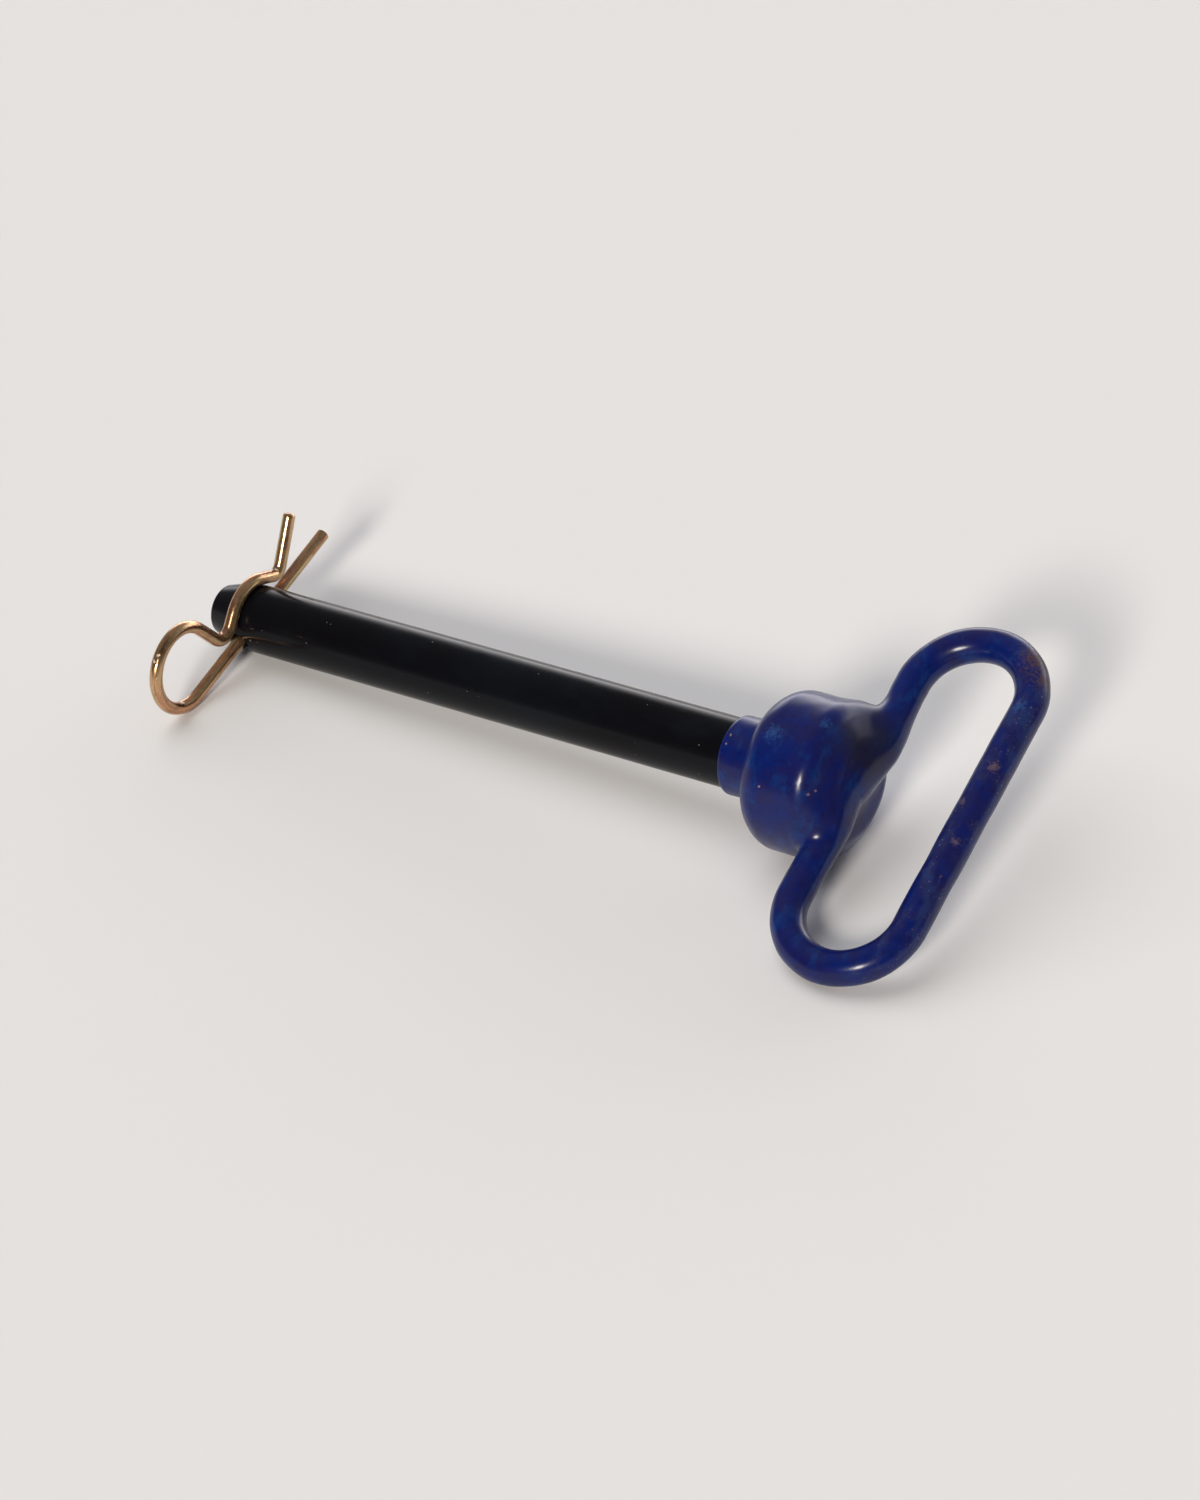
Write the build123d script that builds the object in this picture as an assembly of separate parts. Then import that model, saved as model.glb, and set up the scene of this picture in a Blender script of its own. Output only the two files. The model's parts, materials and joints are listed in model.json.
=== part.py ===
"""Hitch pin: a forged steel pin with a dipped loop handle, and its hairpin clip.

The pin is drawn along X, with the tip at -X, the loop handle at +X and X = 0 at the mouth of the
coating. The handle's loop lies in the XY plane. The pieces are then laid down as the pin rests on a
flat surface: on its tip, on the round head and on one end of the loop.
"""
import os
from math import cos, hypot, radians, sin, sqrt, tan

from build123d import *

# Driving sizes, in millimetres and degrees.

# Shank and tip
SHANK_D = 19.05  # three quarters of an inch
GRIP_LENGTH = 158.2  # from the coating's mouth to the near edge of the clip hole
CLIP_HOLE_EDGE = 0.4
TIP_LAND = 0.5  # full-width shank left between the hole and the tip's taper
TIP_TAPER = 8.6
TIP_ANGLE = 17
TIP_TAPER_ROUND = 2
TIP_EDGE_ROUND = 0.9

# Steel head: a straight side between a large shoulder round and a coned crown with a flat middle
HEAD_D = 40.1
HEAD_SIDE = 19.05  # from the shoulder's plane to the corner of side and crown
CROWN_RISE = 4.8
CROWN_SLOPE = 33  # of the cone, from square to the axis
HEAD_NECK_ROUND = 2.6
HEAD_SHOULDER_ROUND = 6.0
SHOULDER_FLAT = 0.2  # least left between the shoulder's round and the neck's
HEAD_RIM_ROUND = 3.7
CROWN_ROUND = 3.7

# Loop handle
ROD_D = 7.94  # five sixteenths of an inch
LOOP_BEND_R = 16.8
LOOP_HALF_RUN = 33.5  # from the pin's axis to the start of each end bend
LOOP_SINK = 0.5  # the middle of the near run lies this far under the steel crown's flat
LOOP_EASE = 3  # straight left on the near run before it starts to lean
HUMP_RISE = 1.5  # the near run swells out, then dips over the crown
HUMP_Y = 12.7
SADDLE_DEPTH = 2.7
SADDLE_Y = -4.5
SADDLE_END_Y = -10.2
NEAR_RUN_BENDS = [20, 8, 7, 8]
HANDLE_BLEND = 2.2

# Dipped coating
COLLAR_LENGTH = 11.15  # from the mouth to the head's shoulder
HEAD_COAT = 1.3
ROD_COAT = 0.73
COAT_LIP_ROUND = 1.2
COAT_NECK_ROUND = 1.6
COAT_BLEND = 3.6

# Hairpin clip
WIRE_D = 3.6
CLIP_SEAT_GAP = 0.06  # between the hump and the shank
CLIP_HOLE_PLAY = 1.2  # between the wire and its hole, on the diameter
CLIP_LEG = 24.5  # straight leg past the shank's side
CLIP_LOOP_R = 11.5
CLIP_LOOP_OUT = 21.0  # from the shank's side to the middle of the spring loop
CLIP_LOOP_EXIT = 66  # slope of the wire as it leaves the loop
CLIP_NECK_R = 4.2
CLIP_RISE = 36  # slope of the wire up to the hump
CLIP_FALL = 37  # slope of the wire down from the hump
CLIP_DIP_OUT = 3.6  # from the shank's side to the corner before the tail
CLIP_DIP_R = 3.0
CLIP_TAIL = 17.6
CLIP_TAIL_RISE = 43.5
CLIP_CUT_EDGE = 0.25
CLIP_TAIL_ROUND = 1.1
CLIP_TURN = -7.8  # of the clip and its hole about the pin's axis

# Building
CUT_PAST = 1  # a cutting tool runs this far past the face it cuts
REST_ROUNDS = 60  # corrections made in finding the resting pose

# Sizes that follow from them
SHANK_R = SHANK_D / 2
CLIP_HOLE_D = WIRE_D + CLIP_HOLE_PLAY
HOLE_X = -(GRIP_LENGTH + CLIP_HOLE_D / 2)
TAPER_X = HOLE_X - CLIP_HOLE_D / 2 - TIP_LAND
TIP_X = TAPER_X - TIP_TAPER
TIP_R = SHANK_R - TIP_TAPER * tan(radians(TIP_ANGLE))
HEAD_R = HEAD_D / 2
SHOULDER_ROUND = min(HEAD_SHOULDER_ROUND, HEAD_R - SHANK_R - HEAD_COAT - COAT_NECK_ROUND - SHOULDER_FLAT)
SHOULDER_X = COLLAR_LENGTH + HEAD_COAT
RIM_X = SHOULDER_X + HEAD_SIDE
CROWN_X = RIM_X + CROWN_RISE
CROWN_R = HEAD_R - CROWN_RISE / tan(radians(CROWN_SLOPE))
LOOP_NEAR_X = CROWN_X - LOOP_SINK
LOOP_FAR_X = LOOP_NEAR_X + 2 * LOOP_BEND_R
LOOP_MIDDLE_X = LOOP_NEAR_X + LOOP_BEND_R
ROD_R = ROD_D / 2
WIRE_R = WIRE_D / 2


def turned(stations, rounds):
    """A body turned about X: stations are (x, radius), and each inner corner has its round."""
    outline = FilletPolyline(*stations, radius=rounds)
    closing = Line(stations[-1], stations[0])
    return revolve(make_face(outline + closing), Axis.X)


def loop_path():
    """Centre line of the handle: two end bends, a straight grip, and a near run that dips over the crown."""
    grip = Line((LOOP_FAR_X, -LOOP_HALF_RUN), (LOOP_FAR_X, LOOP_HALF_RUN))
    upper_bend = CenterArc((LOOP_MIDDLE_X, LOOP_HALF_RUN), LOOP_BEND_R, 0, 180)
    near_run = FilletPolyline(
        (LOOP_NEAR_X, LOOP_HALF_RUN),
        (LOOP_NEAR_X, LOOP_HALF_RUN - LOOP_EASE),
        (LOOP_NEAR_X + HUMP_RISE, HUMP_Y),
        (LOOP_NEAR_X - SADDLE_DEPTH, SADDLE_Y),
        (LOOP_NEAR_X, SADDLE_END_Y),
        (LOOP_NEAR_X, -LOOP_HALF_RUN),
        radius=NEAR_RUN_BENDS,
    )
    lower_bend = CenterArc((LOOP_MIDDLE_X, -LOOP_HALF_RUN), LOOP_BEND_R, 180, 180)
    return Wire([grip, upper_bend, *near_run.edges(), lower_bend])


def loop_rod(rod_r):
    """The handle's rod, as a closed loop of round section."""
    start = Plane(origin=(LOOP_FAR_X, -LOOP_HALF_RUN, 0), z_dir=(0, 1, 0))
    return sweep(start * Circle(rod_r), path=loop_path())


def joined_to_loop(body, rod_r, blend):
    """A turned body with the loop on it and a blend where the two meet."""
    rod = loop_rod(rod_r)
    joined = body + rod
    return fillet(new_edges(body, rod, combined=joined), blend)


def clip_hole():
    """The cross hole for the clip, with a broken edge at each mouth."""
    bore = Cylinder(CLIP_HOLE_D / 2, SHANK_D + 2 * CUT_PAST)
    mouth_depth = SHANK_R - sqrt(SHANK_R**2 - (CLIP_HOLE_D / 2) ** 2) + CLIP_HOLE_EDGE
    mouth_r = CLIP_HOLE_D / 2 + CLIP_HOLE_EDGE
    mouth = Pos(0, 0, SHANK_R - mouth_depth / 2) * Cone(mouth_r - mouth_depth, mouth_r, mouth_depth)
    tool = bore + mouth + mirror(mouth, Plane.XY)
    return Pos(HOLE_X, 0, 0) * Rot(CLIP_TURN, 0, 0) * Rot(90, 0, 0) * tool


def head_stations(grown):
    """Corners of the head from its shoulder to the middle of its crown, moved out by the thickness grown."""
    rim_x = RIM_X + grown * tan(radians(90 - CROWN_SLOPE) / 2)
    crown_r = CROWN_R + grown * tan(radians(CROWN_SLOPE) / 2)
    head_r = HEAD_R + grown
    return [(SHOULDER_X - grown, head_r), (rim_x, head_r), (CROWN_X + grown, crown_r), (CROWN_X + grown, 0)]


def head_rounds(grown):
    """Rounds of the head's corners under a skin of the thickness grown."""
    return [SHOULDER_ROUND + grown, HEAD_RIM_ROUND + grown, CROWN_ROUND + grown]


def solid_forging():
    """The steel pin before its cross hole: tip, shank, head and loop."""
    shank = [(TIP_X, 0), (TIP_X, TIP_R), (TAPER_X, SHANK_R), (SHOULDER_X, SHANK_R)]
    shank_rounds = [TIP_EDGE_ROUND, TIP_TAPER_ROUND, HEAD_NECK_ROUND]
    pin = turned(shank + head_stations(0), shank_rounds + head_rounds(0))
    return joined_to_loop(pin, ROD_R, HANDLE_BLEND)


def dipped_coating(forging):
    """The skin over the loop, the head and the start of the shank."""
    collar_r = SHANK_R + HEAD_COAT
    collar = [(0, 0), (0, collar_r), (SHOULDER_X - HEAD_COAT, collar_r)]
    skin = turned(collar + head_stations(HEAD_COAT), [COAT_LIP_ROUND, COAT_NECK_ROUND] + head_rounds(HEAD_COAT))
    return joined_to_loop(skin, ROD_R + ROD_COAT, COAT_BLEND) - forging


def slope(angle):
    """Unit vector at an angle above +X."""
    return Vector(cos(radians(angle)), sin(radians(angle)))


def crossing(point_a, along_a, point_b, along_b):
    """Where two lines in the XY plane meet."""
    gap = point_b - point_a
    reach = gap.cross(along_b).Z / along_a.cross(along_b).Z
    return point_a + along_a * reach


def clip_path():
    """Centre line of the clip in the XY plane: the shank's section is round the origin, the leg along X."""
    hump_r = SHANK_R + CLIP_SEAT_GAP + WIRE_R
    loop_centre = Vector(-SHANK_R - CLIP_LOOP_OUT, CLIP_LOOP_R)
    leaving = slope(-CLIP_LOOP_EXIT)
    rising = slope(CLIP_RISE)
    falling = slope(-CLIP_FALL)
    loop_end = loop_centre + slope(90 - CLIP_LOOP_EXIT) * CLIP_LOOP_R
    rise_touch = slope(90 + CLIP_RISE) * hump_r
    fall_touch = slope(90 - CLIP_FALL) * hump_r
    neck = crossing(loop_end, leaving, rise_touch, rising)
    crown = crossing(rise_touch, rising, fall_touch, falling)
    dip = crossing(fall_touch, falling, Vector(SHANK_R + CLIP_DIP_OUT, 0), Vector(0, 1))
    tail_end = dip + slope(CLIP_TAIL_RISE) * CLIP_TAIL
    leg = Line((SHANK_R + CLIP_LEG, 0), (loop_centre.X, 0))
    loop_turn = CLIP_LOOP_EXIT + 180
    loop = CenterArc(loop_centre, CLIP_LOOP_R, -90, -loop_turn)
    sprung = FilletPolyline(loop_end, neck, crown, dip, tail_end, radius=[CLIP_NECK_R, hump_r, CLIP_DIP_R])
    return Wire([leg, loop, *sprung.edges()])


def hairpin_clip():
    """The bent wire, with one cut end and one rounded end, in its place through the hole."""
    path = clip_path()
    section = Plane(origin=path @ 0, z_dir=path % 0) * Circle(WIRE_R)
    wire = sweep(section, path=path)
    cut_end = wire.faces().sort_by_distance(path @ 0)[0]
    wire = chamfer(cut_end.edges(), CLIP_CUT_EDGE)
    wire = fillet(wire.faces().sort_by_distance(path @ 1)[0].edges(), CLIP_TAIL_ROUND)
    upright = Rot(90, 0, 0) * Rot(0, 90, 0)
    return Pos(HOLE_X, 0, 0) * Rot(CLIP_TURN, 0, 0) * upright * wire


def resting_up():
    """The up direction, in the pin's own axes, with the tip, the head and the loop on one level.

    Each of the three touches with a round: the tip's last full circle, the head's shoulder round and
    the bend at the loop's -Y end. Tilt and roll are improved in turn until the three heights agree.
    """
    coat_shoulder = SHOULDER_ROUND + HEAD_COAT
    shoulder_ring_x = SHOULDER_X - HEAD_COAT + coat_shoulder
    shoulder_ring_r = HEAD_R + HEAD_COAT - coat_shoulder
    tilt = 0.0
    roll = 0.0
    for _ in range(REST_ROUNDS):
        up = Vector(sin(tilt), cos(tilt) * sin(roll), cos(tilt) * cos(roll))
        across_axis = hypot(up.Y, up.Z)
        across_loop = hypot(up.X, up.Y)
        tip = TAPER_X * up.X - SHANK_R * across_axis
        head = shoulder_ring_x * up.X - shoulder_ring_r * across_axis - coat_shoulder
        loop = LOOP_MIDDLE_X * up.X - LOOP_HALF_RUN * up.Y - LOOP_BEND_R * across_loop - ROD_R - ROD_COAT
        tilt += (tip - head) / (shoulder_ring_x - TAPER_X)
        roll += (loop - head) / (LOOP_HALF_RUN + LOOP_BEND_R)
    return up


def laid_down(pieces):
    """The pieces as they rest: up along Z, the pin along X, the middle of their floor box at the origin."""
    up = resting_up()
    along = (Vector(1, 0, 0) - up * up.X).normalized()
    rest = Plane(origin=(0, 0, 0), x_dir=along, z_dir=up)
    turned_down = {name: rest.to_local_coords(piece) for name, piece in pieces.items()}
    box = Compound(list(turned_down.values())).bounding_box()
    middle = box.center()
    return {name: Pos(-middle.X, -middle.Y, -box.min.Z) * piece for name, piece in turned_down.items()}


def build():
    """All the pieces by node name, in the resting frame."""
    blank = solid_forging()
    pieces = {
        "pin_forging": blank - clip_hole(),
        "dipped_coating": dipped_coating(blank),
        "hairpin_clip": hairpin_clip(),
    }
    return laid_down(pieces)


os.makedirs("parts", exist_ok=True)
for node, piece in build().items():
    export_step(piece, f"parts/{node}.step")
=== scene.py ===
"""Looks of a hitch pin: a black steel pin, the blue dipped coating of its loop handle, and its golden clip.

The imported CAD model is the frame. Each of its three nodes gets a finer surface with the same overall sizes,
drawn in the pin's own axes in millimetres: X runs along the pin from the coating's mouth to the handle, Y runs
along the handle's loop, and Z is square to the loop. Materials, floor, light and camera follow.
"""

import json
from math import acos, ceil, cos, pi, radians, sin, sqrt, tan

import bmesh
import bpy
import numpy as np
from mathutils import Matrix, Vector


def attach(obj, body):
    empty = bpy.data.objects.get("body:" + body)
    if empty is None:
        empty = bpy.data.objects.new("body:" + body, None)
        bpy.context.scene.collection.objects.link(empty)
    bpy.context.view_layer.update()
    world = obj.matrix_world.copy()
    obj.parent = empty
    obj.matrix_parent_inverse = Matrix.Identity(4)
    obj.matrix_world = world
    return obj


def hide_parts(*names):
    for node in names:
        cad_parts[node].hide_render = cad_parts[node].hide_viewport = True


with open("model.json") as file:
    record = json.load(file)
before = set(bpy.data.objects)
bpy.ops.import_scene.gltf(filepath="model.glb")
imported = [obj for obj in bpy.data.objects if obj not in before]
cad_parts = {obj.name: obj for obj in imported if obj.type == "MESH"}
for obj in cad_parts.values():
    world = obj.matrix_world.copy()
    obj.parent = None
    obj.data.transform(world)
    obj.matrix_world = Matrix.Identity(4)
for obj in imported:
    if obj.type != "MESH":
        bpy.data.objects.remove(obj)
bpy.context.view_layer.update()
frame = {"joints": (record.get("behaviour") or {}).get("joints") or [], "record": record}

MM = 0.001
TINY = 1e-9  # keeps a length from being zero where it divides
ON_LINE = 1e-6  # nearer than this, a point counts as on a line
FAINT = 1e-3  # the least length of a melted way out

# ---- Sizes of the pin, in millimetres and degrees ----
SHANK_R = 19.05 / 2
GRIP_LENGTH = 158.2
TIP_LAND = 0.5
TIP_TAPER = 8.6
TIP_ANGLE = 17
TIP_ROUNDS = [0.9, 2]  # where the tip's face meets its taper, and where the taper meets the shank
NECK_ROUND = 2.6
SHOULDER_ROUND = 6.0
RIM_ROUND = 3.7
CROWN_ROUND = 3.7
COAT_LIP_ROUND = 1.2
COAT_NECK_ROUND = 1.6
COAT_RIM_ROUND = 6.2
HOLE_R = 2.4
HOLE_EDGE = 0.4
COLLAR_LENGTH = 11.15
HEAD_COAT = 1.3
ROD_COAT = 0.73
HEAD_R = 40.1 / 2
HEAD_SIDE = 19.05
CROWN_RISE = 4.8
CROWN_SLOPE = 33
ROD_R = 7.94 / 2
LOOP_BEND_R = 16.8
LOOP_HALF_RUN = 33.5
LOOP_SINK = 0.5  # the rod's middle line runs this far under the crown
HUMP_RISE = 1.5
HUMP_Y = 12.7
SADDLE_DEPTH = 2.7
SADDLE_Y = -4.5
SADDLE_END_Y = -10.2
LOOP_EASE = 3
NEAR_RUN_BENDS = [20, 8, 7, 8]  # radii of the near run's bends, from the loop's high end
CLIP_TURN = 7.8  # how far the clip's leg is turned about the shank

HOLE_X = -(GRIP_LENGTH + HOLE_R)
TAPER_X = HOLE_X - HOLE_R - TIP_LAND
TIP_X = TAPER_X - TIP_TAPER
TIP_R = SHANK_R - TIP_TAPER * tan(radians(TIP_ANGLE))
SHOULDER_X = COLLAR_LENGTH + HEAD_COAT
RIM_X = SHOULDER_X + HEAD_SIDE
CROWN_X = RIM_X + CROWN_RISE
CROWN_R = HEAD_R - CROWN_RISE / tan(radians(CROWN_SLOPE))
LOOP_NEAR_X = CROWN_X - LOOP_SINK
LOOP_MIDDLE_X = LOOP_NEAR_X + LOOP_BEND_R

# Clip, in its own plane: X along its straight leg, Y away from the shank, from the middle of the hole
WIRE_R = 3.6 / 2
LEG_OUT = SHANK_R + 24.5
LOOP_OUT = SHANK_R + 21.0
SPRING_R = 11.5
LOOP_EXIT = 66
NECK_R = 4.2
SEAT_GAP = 0.06
SEAT_R = SHANK_R + SEAT_GAP + WIRE_R
RISE = 36
FALL = 37
DIP_OUT = SHANK_R + 3.6
DIP_R = 3.0
TAIL = 17.6
TAIL_RISE = 43.5
CUT_EDGE = 0.25
TAIL_ROUND = 1.1

# ---- How finely the surfaces are cut ----
ARC_STEP = radians(2)
SHARP_ANGLE = radians(35)
TURNED_SIDES = 180
TURNED_STEP = 3
ROD_SIDES = 48
ROD_STEP = 1.0
CUTTER_SIDES = 96
CUTTER_PAST = 1  # how far the hole's cutter stands past what it cuts
SLIVER = 3e-6  # metres: corners closer than this are one
WIRE_SIDES = 48
WIRE_STEP = 0.2
TAIL_ROUND_STEPS = np.radians(np.arange(10, 91, 10))
COAT_VOXEL = 0.6
COAT_STEPS = 5
ROUGH_HEAD = (2, 64)  # step and sides of the coating's first meshes, before their voxels
ROUGH_ROD = (1.2, 24)
BATCH = 4000  # points measured at one time

# ---- The coating's join between the head and the rod, and its uneven skin ----
JOIN_NARROW = 2
JOIN_WIDE = 11
JOIN_WIDE_Z = (-6, 8)  # the wide join starts at the first and is full at the second
JOIN_WIDE_HIGH_Y = (18, -4)
JOIN_WIDE_LOW_Y = (-25, -13)
JOIN_HIGH_END = 2  # added towards the loop's high end
JOIN_HIGH_END_Y = (2, 16)
SLOPE_STEP = 0.05
POOL_ENDS = ((33.0, 0.0, 3.4), (33.4, 15.5, 2.7))  # plastic that ran together between the crown and the rod
POOL_R = 4.0
POOL_REACH = 9
SINK = 0.06  # the middle of the uneven skin lies this far inside the CAD surface
WAVES = [
    # height, and turns per millimetre along X, Y and Z
    (0.045, (0.051, 0.043, 0.031)),
    (0.030, (-0.068, 0.059, 0.047)),
    (0.012, (0.110, -0.093, 0.084)),
    (0.006, (0.127, 0.152, -0.119)),
]

# ---- Marks that the bending tools left on the clip ----
# place along the wire from its cut end, angle round it in degrees, depth, length and width
NICKS = [(155.6, 12, 0.3, 0.4, 1.1), (152.3, 10, 0.2, 0.4, 0.6), (93.4, -3, 0.2, 0.4, 0.6),
         (95.0, 15, 0.15, 0.3, 0.6)]
PRESSED = [(71.3, 165, 0.3, 1.6, 0.9)]


def unit(vector):
    """A vector of length one."""
    vector = np.asarray(vector, float)
    return vector / np.linalg.norm(vector)


def pin_axes():
    """The pin's own axes in the row frame, from the shank's axis and the way that the clip pulls out."""
    shank = next(m for m in frame["record"]["mounts"] if m["name"] == "shank")
    pull = next(j for j in frame["joints"] if j["name"] == "clip_pull")
    along = -Vector(shank["axis"]).normalized()
    leg = -Vector(pull["axis"]).normalized()
    across = Matrix.Rotation(radians(CLIP_TURN), 3, along) @ leg
    mouth = Vector(shank["pos_m"]) + along * (GRIP_LENGTH * MM / 2)
    axes = Matrix((along, across, along.cross(across))).transposed()
    return Matrix.Translation(mouth) @ axes.to_4x4()


# ---- Outlines ----

def rounded(corners, rounds):
    """Points of a flat polyline whose inner corners have the given radii."""
    corners = [np.array(c, float) for c in corners]
    points = [corners[0]]
    for before, corner, after, radius in zip(corners, corners[1:], corners[2:], rounds):
        points.extend(round_corner(before, corner, after, radius))
    points.append(corners[-1])
    return np.array(points)


def round_corner(before, corner, after, radius):
    """Points of one corner's arc, or the corner itself where the radius is 0."""
    if radius == 0:
        return [corner]
    back, on = unit(before - corner), unit(after - corner)
    half = acos(np.clip(back @ on, -1, 1)) / 2
    centre = corner + unit(back + on) * radius / sin(half)
    start = corner + back * radius / tan(half) - centre
    turn = (pi - 2 * half) * np.sign(-back[0] * on[1] + back[1] * on[0])
    return [centre + turned_by(start, turn * s) for s in np.linspace(0, 1, ceil(abs(turn) / ARC_STEP) + 1)]


def turned_by(vector, angle):
    """A flat vector turned anticlockwise."""
    x, y = vector
    return np.array([x * cos(angle) - y * sin(angle), x * sin(angle) + y * cos(angle)])


def arc(centre, radius, start, turn):
    """Points along a flat arc, from the angle start and through turn, in radians."""
    angles = start + turn * np.linspace(0, 1, ceil(abs(turn) / ARC_STEP) + 1)
    return np.stack([centre[0] + radius * np.cos(angles), centre[1] + radius * np.sin(angles)], 1)


def spaced(points, step):
    """The same line cut into equal lengths of about step."""
    run = np.linalg.norm(np.diff(points, axis=0), axis=1)
    keep = np.r_[True, run > TINY]
    points = points[keep]
    reach = np.r_[0, np.cumsum(run[keep[1:]])]
    at = np.linspace(0, reach[-1], ceil(reach[-1] / step) + 1)
    return np.stack([np.interp(at, reach, c) for c in points.T], 1)


def cut_long(points, step):
    """The same points, with more between two that are further apart than step."""
    out = [points[0]]
    for a, b in zip(points, points[1:]):
        parts = max(1, ceil(np.linalg.norm(b - a) / step))
        out.extend(a + (b - a) * k / parts for k in range(1, parts + 1))
    return np.array(out)


def head_corners(grown):
    """Corners of the head, from its shoulder to its crown's middle, under a skin of the thickness grown."""
    rim_x = RIM_X + grown * tan(radians(90 - CROWN_SLOPE) / 2)
    crown_r = CROWN_R + grown * tan(radians(CROWN_SLOPE) / 2)
    return [(SHOULDER_X - grown, HEAD_R + grown), (rim_x, HEAD_R + grown), (CROWN_X + grown, crown_r),
            (CROWN_X + grown, 0)]


def forging_outline():
    """Half outline of the bare steel pin, from the tip's middle to the crown's."""
    shank = [(TIP_X, 0), (TIP_X, TIP_R), (TAPER_X, SHANK_R), (SHOULDER_X, SHANK_R)]
    rounds = TIP_ROUNDS + [NECK_ROUND, SHOULDER_ROUND, RIM_ROUND, CROWN_ROUND]
    return rounded(shank + head_corners(0), rounds)


def coating_outline():
    """Half outline of the coated collar and head."""
    collar_r = SHANK_R + HEAD_COAT
    collar = [(0, 0), (0, collar_r), (COLLAR_LENGTH, collar_r)]
    collar_rounds = [COAT_LIP_ROUND, COAT_NECK_ROUND]
    head_rounds = [SHOULDER_ROUND + HEAD_COAT, COAT_RIM_ROUND, CROWN_ROUND + HEAD_COAT]
    return rounded(collar + head_corners(HEAD_COAT), collar_rounds + head_rounds)


def handle_line():
    """Closed middle line of the handle's rod in the loop's plane, without its last point."""
    near_run = rounded(
        [(LOOP_NEAR_X, LOOP_HALF_RUN),
         (LOOP_NEAR_X, LOOP_HALF_RUN - LOOP_EASE),
         (LOOP_NEAR_X + HUMP_RISE, HUMP_Y),
         (LOOP_NEAR_X - SADDLE_DEPTH, SADDLE_Y),
         (LOOP_NEAR_X, SADDLE_END_Y),
         (LOOP_NEAR_X, -LOOP_HALF_RUN)],
        NEAR_RUN_BENDS)
    upper = arc((LOOP_MIDDLE_X, LOOP_HALF_RUN), LOOP_BEND_R, 0, pi)
    lower = arc((LOOP_MIDDLE_X, -LOOP_HALF_RUN), LOOP_BEND_R, pi, pi)
    return np.vstack([upper, near_run[1:], lower[1:]])


def clip_line():
    """Middle line of the clip in its own plane, from the straight leg's end to the tail's."""
    def slope(angle):
        return np.array([cos(radians(angle)), sin(radians(angle))])

    def crossing(point_a, along_a, point_b, along_b):
        gap = point_b - point_a
        turn = along_a[0] * along_b[1] - along_a[1] * along_b[0]
        reach = (gap[0] * along_b[1] - gap[1] * along_b[0]) / turn
        return point_a + along_a * reach

    spring = np.array([-LOOP_OUT, SPRING_R])
    spring_end = spring + slope(90 - LOOP_EXIT) * SPRING_R
    rise_touch = slope(90 + RISE) * SEAT_R
    fall_touch = slope(90 - FALL) * SEAT_R
    neck = crossing(spring_end, slope(-LOOP_EXIT), rise_touch, slope(RISE))
    hump = crossing(rise_touch, slope(RISE), fall_touch, slope(-FALL))
    dip = crossing(fall_touch, slope(-FALL), np.array([DIP_OUT, 0]), np.array([0, 1]))
    tail = dip + slope(TAIL_RISE) * TAIL
    loop = arc(spring, SPRING_R, -pi / 2, -radians(LOOP_EXIT + 180))
    sprung = rounded([spring_end, neck, hump, dip, tail], [NECK_R, SEAT_R, DIP_R])
    return np.vstack([[(LEG_OUT, 0)], loop, sprung[1:]])


# ---- Meshes ----

def add_mesh(name, points, faces):
    """A smooth-shaded object of these points, in millimetres of the pin's axes, and faces."""
    mesh = bpy.data.meshes.new(name)
    mesh.from_pydata([tuple(p) for p in np.asarray(points) * MM], [], faces)
    mesh.validate()
    mesh.shade_smooth()
    piece = bpy.data.objects.new(name, mesh)
    bpy.context.scene.collection.objects.link(piece)
    return piece


def ring_faces(rings, sides, closed):
    """Quads between neighbouring rings of points."""
    faces = []
    for i in range(rings if closed else rings - 1):
        for k in range(sides):
            a, b = i * sides + k, i * sides + (k + 1) % sides
            c, d = (i + 1) % rings * sides + (k + 1) % sides, (i + 1) % rings * sides + k
            faces.append((a, b, c, d))
    return faces


def turned(name, outline, sides):
    """A closed body turned about X; its outline starts and ends on the axis."""
    angles = np.linspace(0, 2 * pi, sides, endpoint=False)
    inner = outline[1:-1]
    rings = [np.stack([np.full(sides, x), r * np.cos(angles), r * np.sin(angles)], 1) for x, r in inner]
    points = np.vstack(rings + [[(outline[0][0], 0, 0)], [(outline[-1][0], 0, 0)]])
    first, last = len(points) - 2, len(points) - 1
    end = (len(inner) - 1) * sides
    faces = ring_faces(len(inner), sides, False)
    faces += [(first, (k + 1) % sides, k) for k in range(sides)]
    faces += [(last, end + k, end + (k + 1) % sides) for k in range(sides)]
    return outward(add_mesh(name, points, faces))


def outward(piece):
    """The same piece with its faces' normals pointing out."""
    work = bmesh.new()
    work.from_mesh(piece.data)
    bmesh.ops.recalc_face_normals(work, faces=work.faces)
    work.to_mesh(piece.data)
    work.free()
    return piece


def cleaned(piece):
    """The same piece without the slivers that a boolean leaves."""
    work = bmesh.new()
    work.from_mesh(piece.data)
    bmesh.ops.remove_doubles(work, verts=work.verts, dist=SLIVER)
    bmesh.ops.dissolve_degenerate(work, edges=work.edges, dist=SLIVER)
    work.to_mesh(piece.data)
    work.free()
    return piece


def line_frames(line, closed):
    """Unit tangents and in-plane normals of a flat line."""
    if closed:
        ahead, behind = np.roll(line, -1, 0), np.roll(line, 1, 0)
    else:
        ahead, behind = np.vstack([line[1:], line[-1:]]), np.vstack([line[:1], line[:-1]])
    tangents = ahead - behind
    tangents /= np.linalg.norm(tangents, axis=1)[:, None]
    return tangents, np.stack([-tangents[:, 1], tangents[:, 0]], 1)


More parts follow.
